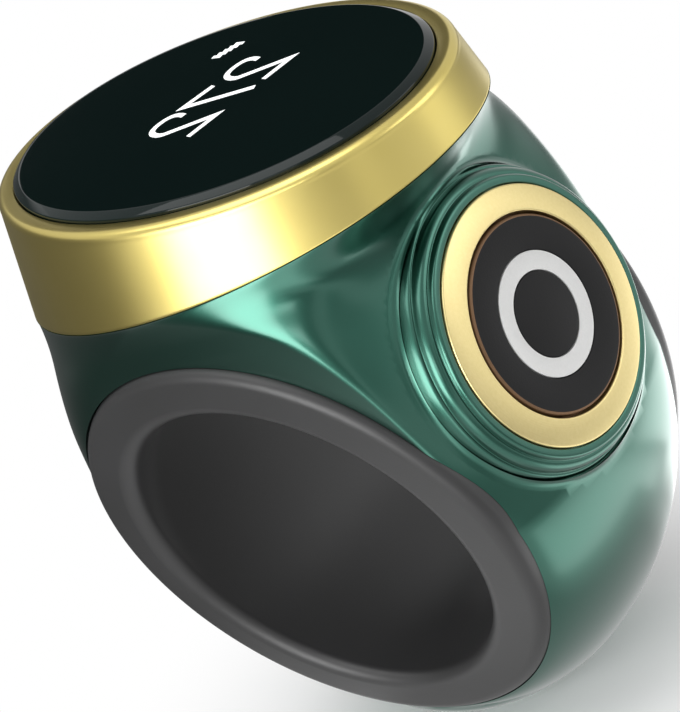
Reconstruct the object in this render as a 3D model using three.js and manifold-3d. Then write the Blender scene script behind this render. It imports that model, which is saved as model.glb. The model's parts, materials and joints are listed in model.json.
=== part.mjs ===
// A digital finger counter: an oval display and a side button on a ring with a soft liner.
// Millimetres. The origin is the centre of the finger hole, +Y runs along the finger,
// +X points to the button's side and +Z to the display.
import * as THREE from 'three';
import { LoftGeometry } from 'three/addons/geometries/LoftGeometry.js';
import { mergeVertices } from 'three/addons/utils/BufferGeometryUtils.js';
import Module from 'manifold-3d';

const wasm = await Module();
wasm.setup();

// Driving dimensions: the finger hole and its liner
const HOLE_RADIUS = 9.45;
const LINER_WALL = 1.2;
const LIP_RADIUS = 12.3;
const LIP_THICKNESS = 1.15;
const LIP_CROWN = 0.65;
const LIP_EDGE = 0.55;
const MOUTH_ROUND = 1.45;
const SIDE_AT_AXIS = 7.93;
const SIDE_SLOPE = 0.177;

// Driving dimensions: the shell's outside
const BAND_HALF_WIDE = 13.4;
const BAND_DEPTH = 14.5;
const BAND_EDGE_DEPTH = 12.3;
const BAND_SQUARENESS = 0.12;
const SIDE_FLAT = 11.6;
const BUTTON_SIDE = [[12.75, 3.2], [11.75, 6.5], [10.8, 10.5], [10.4, 13.7], [11.2, 15.6]];
const PLAIN_SIDE = [[13.35, 4], [13.5, 8], [13.75, 11]];
const FLAT_CLIMB = 2.2;
const BUTTON_SIDE_FULLNESS = 0.98;
const PLAIN_SIDE_FULLNESS = 1.2;
const BUTTON_SIDE_SQUARENESS = 0.1;
const PLAIN_SIDE_SQUARENESS = 0.2;
const HOUSING_FLOOR = 11.6;
const HOUSING_HALF_LONG = 9.3;
const HOUSING_HALF_WIDE = 7.7;

// Driving dimensions: the glass and the bezel
const GLASS_HALF_LONG = 12.03;
const GLASS_HALF_WIDE = 9.03;
const GLASS_TOP = 20.4;
const GLASS_THICKNESS = 1;
const GLASS_CHAMFER_WIDTH = 0.4;
const GLASS_CHAMFER_HEIGHT = 0.25;
const GLASS_CLEARANCE = 0.1;
const GLASS_PROUD = 0.4;
const BEZEL_TOP_OUTSET = 1.045;
const BEZEL_ROUND = 0.45;
const BEZEL_FLARE = 0.19;
const RIM_HEIGHT = 15.4;
const RIM_SLOPE = 0.14;
const GASKET_THICKNESS = 0.15;
const GASKET_WIDTH = 0.9;
const GASKET_INSET = 0.3;

// Driving dimensions: the button and its boss
const BUTTON_X = 13.23;
const BUTTON_Z = 7.195;
const BUTTON_TILT = 0.216;
const CAP_RADIUS = 4.84;
const CAP_FACE_THICKNESS = 0.8;
const CAP_FLANGE_THICKNESS = 0.3;
const CAP_FLANGE_WIDTH = 0.75;
const CAP_EDGE_CHAMFER = 0.12;
const CAP_CLEARANCE = 0.14;
const BUTTON_TRAVEL = 0.4;
const MARK_INNER_RADIUS = 2.12;
const MARK_OUTER_RADIUS = 3.06;
const MARK_DEPTH = 0.2;
const TRIM_RADIUS = 6.35;
const TRIM_THICKNESS = 0.5;
const TRIM_SET_BACK = 0.2;
const TRIM_CROWN = 0.2;
const TRIM_CHAMFER = 0.15;
const BOSS_STEPS = [[6.85, 0.3], [7.4, 0.85], [7.7, 1.5]];
const BOSS_ROOT = 6;
const PLUNGER_RADIUS = 0.9;
const PLUNGER_LENGTH = 0.75;
const SWITCH_SIDE = 4;
const SWITCH_HEIGHT = 0.9;
const SWITCH_FLOOR = 0.05;
const SWITCH_BOARD_THICKNESS = 0.4;
const CUSHION_WIDTH = 1.2;

// Driving dimensions: what the housing holds
const PANEL_END_GAP = 0.9;
const PANEL_WIDE = 7.4;
const PANEL_THICKNESS = 1.2;
const FILM_THICKNESS = 0.2;
const CARRIER_THICKNESS = 2;
const CARRIER_LEDGE = 1.1;
const BOARD_THICKNESS = 0.6;
const BOARD_DROP = 0.7;
const PART_HEIGHT = 0.9;
const BATTERY_BLOCK_GAP = 0.55;
const BATTERY_MOTOR_GAP = 0.15;
const BATTERY_WIDE = 9;
const BATTERY_THICKNESS = 2.8;
const PAD_THICKNESS = 0.3;
const PAD_INSET = 0.5;
const MOTOR_RADIUS = 2.6;
const MOTOR_HEIGHT = 2.2;
const MOTOR_INSET = 2;
const POST_INSET = 1.9;
const POST_Y = 2.7;
const POST_RADIUS = 0.9;
const SCREW_RADIUS = 0.45;
const SCREW_HEAD_RADIUS = 0.8;
const SCREW_HEAD_HEIGHT = 0.45;
const SCREW_GRIP = 2.2;
const CHARGE_PIN_RADIUS = 0.45;
const CHARGE_PIN_SPACING = 2.4;
const CHARGE_PIN_RISE = 0.8;
const CHARGE_BLOCK_DEPTH = 2;
const CHARGE_BLOCK_WIDE = 3.6;
const CHARGE_BLOCK_HIGH = 1.6;
const CHARGE_BLOCK_INSET = 0.4;
const CHARGE_SOCKET_WALL = 0.4;
const FLEX_THICKNESS = 0.12;
const DISPLAY_FLEX_WIDE = 4;
const DISPLAY_FLEX_LONG = 1.8;
const DISPLAY_FLEX_INSET = 0.3;
const SWITCH_FLEX_WIDE = 2.4;
const SWITCH_FLEX_INSET = 0.3;
const SWITCH_FLEX_FOOT = 0.55;
const SWITCH_FLEX_LAP = 0.4;
const CONTROLLER_SIDE = 2.8;
const MEMORY_LONG = 1.5;
const MEMORY_WIDE = 2.4;
const CRYSTAL_LONG = 0.9;
const CRYSTAL_WIDE = 2;
const BOARD_ROW_GAPS = [1.6, 0.7, 0.6, 0.8];

// Clearances between fixed neighbours, how far fused features reach into each other,
// and how far a cut runs past the face that it opens
const FIT = 0.05;
const SLIDE = 0.1;
const FUSE = 0.3;
const PAST = 1;

// Facets round the ovals and the turned pieces, and rows up the shell
const OVAL_POINTS = 56;
const TURN_POINTS = 48;
const SMALL_POINTS = 20;
const ROUND_STEPS = 4;
const BAND_FIRST_DEGREES = 6;
const BAND_STEP_DEGREES = 7;
const SHOULDER_ROWS = 12;

// Heights and radii that follow from the driving dimensions
const GLASS_BOTTOM = GLASS_TOP - GLASS_THICKNESS;
const BEZEL_TOP = GLASS_TOP - GLASS_PROUD;
const COLLAR_TOP = GLASS_BOTTOM - GASKET_THICKNESS - 2 * FIT;
const FILM_TOP = GLASS_BOTTOM - FIT;
const PANEL_TOP = FILM_TOP - FILM_THICKNESS - FIT;
const CARRIER_TOP = PANEL_TOP - GASKET_THICKNESS;
const CARRIER_BOTTOM = CARRIER_TOP - CARRIER_THICKNESS;
const BOARD_TOP = CARRIER_BOTTOM - BOARD_DROP;
const BOARD_BOTTOM = BOARD_TOP - BOARD_THICKNESS;
const LINER_RADIUS = HOLE_RADIUS + LINER_WALL;
const BORE_RADIUS = LINER_RADIUS + SLIDE;
const FLANGE_RADIUS = CAP_RADIUS + CAP_FLANGE_WIDTH;
const CAP_BACK = CAP_FACE_THICKNESS + CAP_FLANGE_THICKNESS;
const PLUNGER_TOP = CAP_BACK + SLIDE;
const SWITCH_TOP = CAP_BACK + BUTTON_TRAVEL + SLIDE;
const SWITCH_BOTTOM = SWITCH_TOP + SWITCH_HEIGHT;
const SWITCH_BOARD_TOP = SWITCH_BOTTOM + FIT;
const POCKET_FLOOR = SWITCH_BOARD_TOP + SWITCH_BOARD_THICKNESS + FIT;
const POCKET_RADIUS = FLANGE_RADIUS + CAP_CLEARANCE;
const TRIM_BACK = TRIM_SET_BACK + TRIM_THICKNESS;
const POST_X = HOUSING_HALF_LONG - POST_INSET;
const PANEL_LONG = 2 * (POST_X - SCREW_HEAD_RADIUS - PANEL_END_GAP);
const MOTOR_X = HOUSING_HALF_LONG - MOTOR_INSET - MOTOR_RADIUS;
const CHARGE_BLOCK_LEFT = -HOUSING_HALF_LONG + CHARGE_BLOCK_INSET;
const BATTERY_LEFT = CHARGE_BLOCK_LEFT + CHARGE_BLOCK_DEPTH + BATTERY_BLOCK_GAP;
const BATTERY_RIGHT = MOTOR_X - MOTOR_RADIUS - BATTERY_MOTOR_GAP;
const BATTERY_LONG = BATTERY_RIGHT - BATTERY_LEFT;
const BATTERY_X = (BATTERY_LEFT + BATTERY_RIGHT) / 2;

// Finishes
function finish(color, roughness, metalness) {
  return new THREE.MeshStandardMaterial({ color, roughness, metalness });
}
const FINISHES = {
  greenMetal: () => finish(0x3f7563, 0.28, 1),
  goldMetal: () => finish(0xd6bf62, 0.22, 1),
  goldSatin: () => finish(0xe2cf8b, 0.35, 1),
  darkGlass: () => finish(0x0e1b1a, 0.06, 0),
  silicone: () => finish(0x393939, 0.55, 0),
  blackPlastic: () => finish(0x2a2a2a, 0.45, 0),
  whiteInk: () => finish(0xe2e2e2, 0.5, 0),
  clearFilm: () => finish(0xd8e4e4, 0.1, 0),
  darkPanel: () => finish(0x101418, 0.2, 0),
  flexRibbon: () => finish(0xb06a2c, 0.4, 0),
  circuitBoard: () => finish(0x1f5a35, 0.5, 0),
  chipBody: () => finish(0x1c1c1e, 0.5, 0),
  steel: () => finish(0xa9adb0, 0.3, 1),
  foilCell: () => finish(0xb9bcc0, 0.35, 0.6),
  foam: () => finish(0x4a4a4a, 0.95, 0),
};

const model = new THREE.Group();

function piece(name, geometry, finishName, parent = model) {
  const mesh = new THREE.Mesh(geometry, FINISHES[finishName]());
  mesh.name = name;
  parent.add(mesh);
  return mesh;
}

// Boolean helpers
function toSolid(geometry) {
  const bare = new THREE.BufferGeometry();
  bare.setAttribute('position', geometry.attributes.position);
  bare.setIndex(geometry.index);
  const merged = mergeVertices(bare, 1e-5);
  const index = merged.index.array;
  const corners = [];
  for (let i = 0; i < index.length; i += 3) {
    const [a, b, c] = [index[i], index[i + 1], index[i + 2]];
    if (a !== b && b !== c && c !== a) {
      corners.push(a, b, c);
    }
  }
  return new wasm.Manifold(new wasm.Mesh({
    numProp: 3,
    vertProperties: new Float32Array(merged.attributes.position.array),
    triVerts: new Uint32Array(corners),
  }));
}

function toGeometry(solid) {
  const mesh = solid.getMesh();
  const geometry = new THREE.BufferGeometry();
  geometry.setAttribute('position', new THREE.BufferAttribute(mesh.vertProperties, 3));
  geometry.setIndex(new THREE.BufferAttribute(mesh.triVerts, 1));
  geometry.computeVertexNormals();
  return geometry;
}

function joined(first, ...others) {
  return others.reduce((sum, other) => sum.add(toSolid(other)), toSolid(first));
}

// Ovals, plates, rods and turned shapes
function ovalPoints(halfLong, halfWide, heightAt) {
  const points = [];
  for (let i = 0; i < OVAL_POINTS; i += 1) {
    const angle = (i / OVAL_POINTS) * 2 * Math.PI;
    const x = halfLong * Math.cos(angle);
    points.push(new THREE.Vector3(x, halfWide * Math.sin(angle), heightAt(x)));
  }
  return points;
}

function ovalPrism(halfLong, halfWide, bottom, top) {
  const sections = [bottom, top].map((z) => ovalPoints(halfLong, halfWide, () => z));
  return new LoftGeometry(sections, { capStart: true, capEnd: true });
}

function ovalRing(outer, inner, bottom, top) {
  const corners = [[outer, bottom], [outer, top], [inner, top], [inner, bottom], [outer, bottom]];
  const sections = corners.map(([oval, z]) => ovalPoints(oval[0], oval[1], () => z));
  return new LoftGeometry(sections);
}

function plate(long, wide, bottom, top, x = 0, y = 0) {
  const box = new THREE.BoxGeometry(long, wide, top - bottom);
  box.translate(x, y, (bottom + top) / 2);
  return box;
}

function rod(radius, bottom, top, x, y) {
  const cylinder = new THREE.CylinderGeometry(radius, radius, top - bottom, SMALL_POINTS);
  cylinder.rotateX(Math.PI / 2);
  cylinder.translate(x, y, (bottom + top) / 2);
  return cylinder;
}

function turned(profile, points = TURN_POINTS) {
  const closed = profile[0][0] === 0 ? profile : [...profile, profile[0]];
  return new THREE.LatheGeometry(closed.map(([r, y]) => new THREE.Vector2(r, y)), points);
}

// Depths on the button are measured inwards from the cap's face
function turnedInwards(profile, points) {
  return turned(profile.map(([r, depth]) => [r, -depth]), points);
}

// The sides of the band lean outwards towards the display
function sideWidth(z) {
  return SIDE_AT_AXIS + SIDE_SLOPE * z;
}

function leanSides(geometry, shoulder) {
  const position = geometry.attributes.position;
  for (let i = 0; i < position.count; i += 1) {
    const y = position.getY(i);
    const share = Math.max(-1, Math.min(1, y / shoulder));
    position.setY(i, y + SIDE_SLOPE * position.getZ(i) * share);
  }
  return geometry;
}

// The bezel flares downwards, and its lower edge lies in a plane that climbs to the button
function bezelOutset(z) {
  return BEZEL_TOP_OUTSET + (BEZEL_TOP - BEZEL_ROUND - z) * BEZEL_FLARE;
}

function rimPoints(drop, outset) {
  const points = [];
  for (let i = 0; i < OVAL_POINTS; i += 1) {
    const angle = (i / OVAL_POINTS) * 2 * Math.PI;
    const reach = GLASS_HALF_LONG + (outset ?? bezelOutset(RIM_HEIGHT));
    const lean = outset === undefined ? BEZEL_FLARE * RIM_SLOPE * Math.cos(angle) : 0;
    const x = (reach * Math.cos(angle)) / (1 + lean);
    const z = RIM_HEIGHT + RIM_SLOPE * x - drop;
    const y = (GLASS_HALF_WIDE + (outset ?? bezelOutset(z))) * Math.sin(angle);
    points.push(new THREE.Vector3(x, y, z));
  }
  return points;
}

// The shell's outside is skinned over sections: a flat stretch at the front and the back,
// and a rounded end towards the button and away from it, squarer on the band than at the rim
function shellSection(buttonEnd, buttonFlat, plainEnd, plainFlat, halfWidth, climb) {
  const slope = (buttonEnd.y - plainEnd.y) / (buttonEnd.x + plainEnd.x);
  const middle = buttonEnd.y - slope * buttonEnd.x;
  const points = [];
  for (let i = 0; i < OVAL_POINTS; i += 1) {
    const angle = (i / OVAL_POINTS) * 2 * Math.PI;
    const along = Math.abs(Math.cos(angle)) < 1e-6 ? 0 : Math.cos(angle);
    const across = Math.sin(angle);
    const [end, flat] = along > 0 ? [buttonEnd.x, buttonFlat] : [plainEnd.x, plainFlat];
    const squareness = along > 0 ? BUTTON_SIDE_SQUARENESS : PLAIN_SIDE_SQUARENESS;
    const bend = 2 / (2 + squareness * (1 - climb));
    const x = Math.sign(along) * (flat + Math.abs(along) ** bend * (end - flat));
    const y = Math.sign(across) * halfWidth * Math.abs(across) ** bend;
    points.push(new THREE.Vector3(x, y, middle + slope * x));
  }
  return points;
}

function bandSections() {
  const sections = [];
  const last = 90 - BAND_STEP_DEGREES / 2;
  for (let degrees = BAND_FIRST_DEGREES; degrees < last; degrees += BAND_STEP_DEGREES) {
    const turn = THREE.MathUtils.degToRad(degrees);
    const bend = 2 / (2 + BAND_SQUARENESS);
    const z = -BAND_DEPTH * Math.cos(turn) ** bend;
    const end = new THREE.Vector2(BAND_HALF_WIDE * Math.sin(turn) ** bend, z);
    const below = Math.max(0, -z - BAND_EDGE_DEPTH) / (BAND_DEPTH - BAND_EDGE_DEPTH);
    const flat = SIDE_FLAT * Math.sqrt(Math.max(0, 1 - (z / BAND_EDGE_DEPTH) ** 2));
    const halfWidth = sideWidth(z) * Math.sqrt(1 - below ** 2);
    sections.push(shellSection(end, flat, end, flat, halfWidth, 0));
  }
  return sections;
}

function shoulderSections() {
  const rim = rimPoints(0);
  const plainTop = rim[OVAL_POINTS / 2];
  const curveThrough = (side, top) => new THREE.SplineCurve(
    [[BAND_HALF_WIDE, 0], ...side, top].map(([x, z]) => new THREE.Vector2(x, z)),
  );
  const buttonCurve = curveThrough(BUTTON_SIDE, [rim[0].x, rim[0].z]);
  const plainCurve = curveThrough(PLAIN_SIDE, [-plainTop.x, plainTop.z]);
  const sections = [];
  for (let row = 0; row < SHOULDER_ROWS; row += 1) {
    const climb = row / SHOULDER_ROWS;
    const buttonEnd = buttonCurve.getPoint(climb);
    const plainEnd = plainCurve.getPoint(climb);
    const halfWidth = sideWidth((buttonEnd.y + plainEnd.y) / 2);
    const left = 1 - climb ** FLAT_CLIMB;
    const buttonFlat = SIDE_FLAT * left ** BUTTON_SIDE_FULLNESS;
    const plainFlat = SIDE_FLAT * left ** PLAIN_SIDE_FULLNESS;
    sections.push(shellSection(buttonEnd, buttonFlat, plainEnd, plainFlat, halfWidth, climb));
  }
  sections.push(rim);
  return sections;
}

// The button's own frame: local +Y points out of the cap's face, local +Z is the finger's axis
const button = new THREE.Group();
const outward = new THREE.Vector3(Math.cos(BUTTON_TILT), 0, Math.sin(BUTTON_TILT));
const upward = new THREE.Vector3(-Math.sin(BUTTON_TILT), 0, Math.cos(BUTTON_TILT));
const buttonFrame = new THREE.Matrix4().makeBasis(upward, outward, new THREE.Vector3(0, 1, 0));
buttonFrame.setPosition(BUTTON_X, 0, BUTTON_Z);
buttonFrame.decompose(button.position, button.quaternion, button.scale);
model.add(button);

function atButton(geometry) {
  return geometry.applyMatrix4(buttonFrame);
}

const POSTS = [[-1, -1], [-1, 1], [1, -1], [1, 1]].map(([i, j]) => [i * POST_X, j * POST_Y]);
const CHARGE_PIN_Z = HOUSING_FLOOR + CHARGE_PIN_RISE;
const CHARGE_PIN_Y = [-CHARGE_PIN_SPACING / 2, CHARGE_PIN_SPACING / 2];
const CHARGE_PIN_FACE = -PLAIN_SIDE.at(-1)[0];

function chargeRod(radius, from, to, y) {
  const cylinder = new THREE.CylinderGeometry(radius, radius, to - from, SMALL_POINTS);
  cylinder.rotateZ(Math.PI / 2);
  cylinder.translate((from + to) / 2, y, CHARGE_PIN_Z);
  return cylinder;
}

// The hole through the shell for the liner, with a recess for each lip
function linerHole() {
  const lipFoot = SIDE_AT_AXIS - LIP_THICKNESS - SLIDE;
  const lipSpace = LIP_RADIUS + SLIDE;
  const past = SIDE_AT_AXIS + 3 * LIP_THICKNESS;
  const hole = turned([
    [0, -past], [lipSpace, -past], [lipSpace, -lipFoot], [BORE_RADIUS, -lipFoot],
    [BORE_RADIUS, lipFoot], [lipSpace, lipFoot], [lipSpace, past], [0, past],
  ]);
  return leanSides(hole, lipFoot);
}

function buttonHole() {
  const past = BOSS_ROOT;
  const trimSpace = TRIM_RADIUS + FIT;
  const trimSeat = TRIM_BACK + FIT;
  return atButton(turnedInwards([
    [0, POCKET_FLOOR], [POCKET_RADIUS, POCKET_FLOOR], [POCKET_RADIUS, trimSeat],
    [trimSpace, trimSeat], [trimSpace, -past], [0, -past],
  ]));
}

function buttonBoss() {
  const profile = [[0, BOSS_ROOT]];
  const steps = [...BOSS_STEPS].reverse();
  steps.forEach(([radius, depth], i) => {
    profile.push([radius, i === 0 ? BOSS_ROOT : steps[i - 1][1]]);
    profile.push([radius, depth]);
  });
  profile.push([0, BOSS_STEPS[0][1]]);
  return atButton(turnedInwards(profile));
}

function makeShell() {
  const sections = [...bandSections(), ...shoulderSections()];
  const outside = new LoftGeometry(sections, { capStart: true, capEnd: true });
  const foot = (x) => RIM_HEIGHT + RIM_SLOPE * x - FUSE;
  const collar = new LoftGeometry(
    [foot, () => COLLAR_TOP].map((height) => ovalPoints(GLASS_HALF_LONG, GLASS_HALF_WIDE, height)),
    { capStart: true, capEnd: true },
  );
  const housing = ovalPrism(HOUSING_HALF_LONG, HOUSING_HALF_WIDE, HOUSING_FLOOR, COLLAR_TOP + PAST);
  let shell = joined(outside, collar, buttonBoss());
  shell = shell.subtract(toSolid(housing));
  const postTop = BOARD_BOTTOM - FIT;
  const postRoot = HOUSING_FLOOR - FUSE;
  const pilotBottom = postTop - SCREW_GRIP - SLIDE;
  const reach = [HOUSING_HALF_LONG + FUSE, HOUSING_HALF_WIDE + FUSE];
  const inHousing = toSolid(ovalPrism(...reach, postRoot, postTop));
  POSTS.forEach(([x, y]) => {
    const post = toSolid(rod(POST_RADIUS, postRoot, postTop, x, y));
    const pilot = toSolid(rod(SCREW_RADIUS + SLIDE, pilotBottom, postTop + PAST, x, y));
    shell = shell.add(post.intersect(inHousing)).subtract(pilot);
  });
  shell = shell.subtract(toSolid(linerHole()));
  shell = shell.subtract(toSolid(buttonHole()));
  CHARGE_PIN_Y.forEach((y) => {
    const radius = CHARGE_PIN_RADIUS + SLIDE;
    const passage = chargeRod(radius, CHARGE_PIN_FACE - PAST, -HOUSING_HALF_LONG + PAST, y);
    shell = shell.subtract(toSolid(passage));
  });
  return toGeometry(shell);
}

piece('shell', makeShell(), 'greenMetal');

// The bezel: a flared oval ring with a rounded top edge
function makeBezel() {
  const sections = [rimPoints(-FIT)];
  for (let i = 0; i <= ROUND_STEPS; i += 1) {
    const angle = (i / ROUND_STEPS) * (Math.PI / 2);
    const outset = BEZEL_TOP_OUTSET - BEZEL_ROUND * (1 - Math.cos(angle));
    const z = BEZEL_TOP - BEZEL_ROUND * (1 - Math.sin(angle));
    sections.push(ovalPoints(GLASS_HALF_LONG + outset, GLASS_HALF_WIDE + outset, () => z));
  }
  const inner = [GLASS_HALF_LONG + GLASS_CLEARANCE, GLASS_HALF_WIDE + GLASS_CLEARANCE];
  sections.push(ovalPoints(...inner, () => BEZEL_TOP));
  sections.push(rimPoints(-FIT, GLASS_CLEARANCE));
  sections.push(sections[0]);
  return new LoftGeometry(sections);
}

piece('bezel', makeBezel(), 'goldMetal');

// The glass and its gasket
function makeGlass() {
  const oval = (inset, z) => ovalPoints(GLASS_HALF_LONG - inset, GLASS_HALF_WIDE - inset, () => z);
  const sections = [
    oval(0, GLASS_BOTTOM),
    oval(0, GLASS_TOP - GLASS_CHAMFER_HEIGHT),
    oval(GLASS_CHAMFER_WIDTH, GLASS_TOP),
  ];
  return new LoftGeometry(sections, { capStart: true, capEnd: true });
}

piece('cover_glass', makeGlass(), 'darkGlass');

const gasketOuter = [GLASS_HALF_LONG - GASKET_INSET, GLASS_HALF_WIDE - GASKET_INSET];
const gasketInner = gasketOuter.map((half) => half - GASKET_WIDTH);
const gasketBottom = COLLAR_TOP + FIT;
const gasket = ovalRing(gasketOuter, gasketInner, gasketBottom, gasketBottom + GASKET_THICKNESS);
piece('glass_gasket', gasket, 'silicone');

// The display: film, panel and ribbon
piece('optical_film', plate(PANEL_LONG, PANEL_WIDE, FILM_TOP - FILM_THICKNESS, FILM_TOP), 'clearFilm');
const panelBottom = PANEL_TOP - PANEL_THICKNESS;
piece('display_panel', plate(PANEL_LONG, PANEL_WIDE, panelBottom, PANEL_TOP), 'darkPanel');

function ribbon(route, wide) {
  const outline = new THREE.Shape(route.map(([x, z]) => new THREE.Vector2(x, z)));
  const strip = new THREE.ExtrudeGeometry(outline, { depth: wide, bevelEnabled: false });
  strip.translate(0, 0, -wide / 2);
  strip.rotateX(Math.PI / 2);
  return strip;
}

// A C-shaped fold, open towards +X
function foldedRibbon(left, right, bottom, top, wide) {
  const inner = left + FLEX_THICKNESS;
  return ribbon([
    [left, bottom], [right, bottom], [right, bottom + FLEX_THICKNESS], [inner, bottom + FLEX_THICKNESS],
    [inner, top - FLEX_THICKNESS], [right, top - FLEX_THICKNESS], [right, top], [left, top],
  ], wide);
}

const windowLong = PANEL_LONG - 2 * CARRIER_LEDGE;
const windowWide = PANEL_WIDE - 2 * CARRIER_LEDGE;
const flexLeft = -windowLong / 2 + DISPLAY_FLEX_INSET;
const flexRight = flexLeft + DISPLAY_FLEX_LONG;
const displayFlex = foldedRibbon(flexLeft, flexRight, BOARD_TOP + FIT, panelBottom - FIT, DISPLAY_FLEX_WIDE);
piece('display_flex', displayFlex, 'flexRibbon');

// The carrier: an oval plate with a pocket for the panel, a window and four feet
function makeCarrier() {
  const half = [HOUSING_HALF_LONG - 2 * SLIDE, HOUSING_HALF_WIDE - 2 * SLIDE];
  const body = ovalPrism(...half, CARRIER_BOTTOM, CARRIER_TOP);
  const withinHousing = toSolid(ovalPrism(...half, BOARD_TOP, CARRIER_TOP));
  const feet = POSTS.map(([x, y]) => rod(POST_RADIUS, BOARD_TOP + FIT, CARRIER_BOTTOM + FUSE, x, y));
  let carrier = joined(body, ...feet).intersect(withinHousing);
  const pocketLong = PANEL_LONG + 2 * SLIDE;
  const pocketWide = PANEL_WIDE + 2 * SLIDE;
  const pocketFloor = panelBottom - FIT;
  const headSeat = CARRIER_TOP - SCREW_HEAD_HEIGHT - SLIDE;
  carrier = carrier.subtract(toSolid(plate(pocketLong, pocketWide, pocketFloor, CARRIER_TOP + PAST)));
  carrier = carrier.subtract(toSolid(plate(windowLong, windowWide, CARRIER_BOTTOM - PAST, CARRIER_TOP)));
  POSTS.forEach(([x, y]) => {
    const shankHole = rod(SCREW_RADIUS + SLIDE, BOARD_TOP - PAST, CARRIER_TOP + PAST, x, y);
    const headHole = rod(SCREW_HEAD_RADIUS + SLIDE, headSeat, CARRIER_TOP + PAST, x, y);
    carrier = carrier.subtract(toSolid(shankHole)).subtract(toSolid(headHole));
  });
  return toGeometry(carrier);
}

piece('display_carrier', makeCarrier(), 'blackPlastic');

// The main board and what is soldered to it
function makeBoard() {
  const half = [HOUSING_HALF_LONG - 2 * SLIDE, HOUSING_HALF_WIDE - 2 * SLIDE];
  let board = toSolid(ovalPrism(...half, BOARD_BOTTOM, BOARD_TOP));
  POSTS.forEach(([x, y]) => {
    const hole = rod(SCREW_RADIUS + SLIDE, BOARD_BOTTOM - PAST, BOARD_TOP + PAST, x, y);
    board = board.subtract(toSolid(hole));
  });
  return toGeometry(board);
}

piece('main_board', makeBoard(), 'circuitBoard');

const partBottom = BOARD_TOP + FIT;
const boardRow = [
  ['controller_chip', CONTROLLER_SIDE, CONTROLLER_SIDE, 'chipBody'],
  ['memory_chip', MEMORY_LONG, MEMORY_WIDE, 'chipBody'],
  ['clock_crystal', CRYSTAL_LONG, CRYSTAL_WIDE, 'steel'],
];
const total = (sizes) => sizes.reduce((sum, size) => sum + size, 0);

// The row fills the carrier's window from the ribbon on, and its gaps share the room that is left
const roomLeft = windowLong / 2 - flexRight - total(boardRow.map(([, long]) => long));
const gapShare = roomLeft / total(BOARD_ROW_GAPS);
let rowEnd = flexRight;
boardRow.forEach(([name, long, wide, finishName], i) => {
  const left = rowEnd + BOARD_ROW_GAPS[i] * gapShare;
  rowEnd = left + long;
  const block = plate(long, wide, partBottom, partBottom + PART_HEIGHT, (left + rowEnd) / 2);
  piece(name, block, finishName);
});

// The cell, its pad and the motor on the housing's floor
const padBottom = HOUSING_FLOOR + FIT;
const padTop = padBottom + PAD_THICKNESS;
const padLong = BATTERY_LONG - 2 * PAD_INSET;
const padWide = BATTERY_WIDE - 2 * PAD_INSET;
const cellBottom = padTop + FIT;
const cellTop = cellBottom + BATTERY_THICKNESS;
piece('battery_pad', plate(padLong, padWide, padBottom, padTop, BATTERY_X), 'foam');
piece('battery', plate(BATTERY_LONG, BATTERY_WIDE, cellBottom, cellTop, BATTERY_X), 'foilCell');
piece('vibration_motor', rod(MOTOR_RADIUS, padBottom, padBottom + MOTOR_HEIGHT, MOTOR_X, 0), 'steel');

// Four screws through the carrier and the board into the shell's posts
function makeScrew(x, y) {
  const headTop = CARRIER_TOP - FIT;
  const tip = BOARD_BOTTOM - FIT - SCREW_GRIP;
  const head = rod(SCREW_HEAD_RADIUS, headTop - SCREW_HEAD_HEIGHT, headTop, x, y);
  const shank = rod(SCREW_RADIUS, tip, headTop - SCREW_HEAD_HEIGHT / 2, x, y);
  return toGeometry(joined(head, shank));
}

POSTS.forEach(([x, y], i) => {
  piece(`carrier_screw_${i + 1}`, makeScrew(x, y), 'steel');
});

// The charging contacts, level with the housing's floor on the plain side
const socketEnd = CHARGE_BLOCK_LEFT + CHARGE_BLOCK_DEPTH - CHARGE_SOCKET_WALL;

function makeChargeBlock() {
  const middle = CHARGE_BLOCK_LEFT + CHARGE_BLOCK_DEPTH / 2;
  const blockTop = padBottom + CHARGE_BLOCK_HIGH;
  let block = toSolid(plate(CHARGE_BLOCK_DEPTH, CHARGE_BLOCK_WIDE, padBottom, blockTop, middle));
  CHARGE_PIN_Y.forEach((y) => {
    const socket = chargeRod(CHARGE_PIN_RADIUS + FIT, CHARGE_BLOCK_LEFT - PAST, socketEnd, y);
    block = block.subtract(toSolid(socket));
  });
  return toGeometry(block);
}

piece('charge_block', makeChargeBlock(), 'blackPlastic');

CHARGE_PIN_Y.forEach((y, i) => {
  const pin = chargeRod(CHARGE_PIN_RADIUS, CHARGE_PIN_FACE, socketEnd - FIT, y);
  piece(`charge_pin_${i + 1}`, pin, 'goldMetal');
});

// The liner: a sleeve with a crowned lip at each end
function makeLiner() {
  const lipFoot = SIDE_AT_AXIS - LIP_THICKNESS;
  const mouth = SIDE_AT_AXIS + LIP_CROWN - MOUTH_ROUND;
  const half = [[HOLE_RADIUS, mouth]];
  const crest = HOLE_RADIUS + MOUTH_ROUND;
  for (let i = 1; i <= ROUND_STEPS; i += 1) {
    const angle = (i / ROUND_STEPS) * (Math.PI / 2);
    half.push([crest - MOUTH_ROUND * Math.cos(angle), mouth + MOUTH_ROUND * Math.sin(angle)]);
  }
  const edgeDrop = LIP_CROWN + LIP_THICKNESS - LIP_EDGE;
  for (let i = 1; i <= ROUND_STEPS; i += 1) {
    const angle = (i / ROUND_STEPS) * (Math.PI / 2);
    const r = crest + (LIP_RADIUS - crest) * Math.sin(angle);
    half.push([r, SIDE_AT_AXIS + LIP_CROWN - edgeDrop * (1 - Math.cos(angle))]);
  }
  half.push([LIP_RADIUS, lipFoot]);
  half.push([LINER_RADIUS, lipFoot]);
  const mirrored = half.map(([r, y]) => [r, -y]).reverse();
  return leanSides(turned([...mirrored, ...half].reverse(), OVAL_POINTS), lipFoot);
}

piece('finger_liner', makeLiner(), 'silicone');

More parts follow.
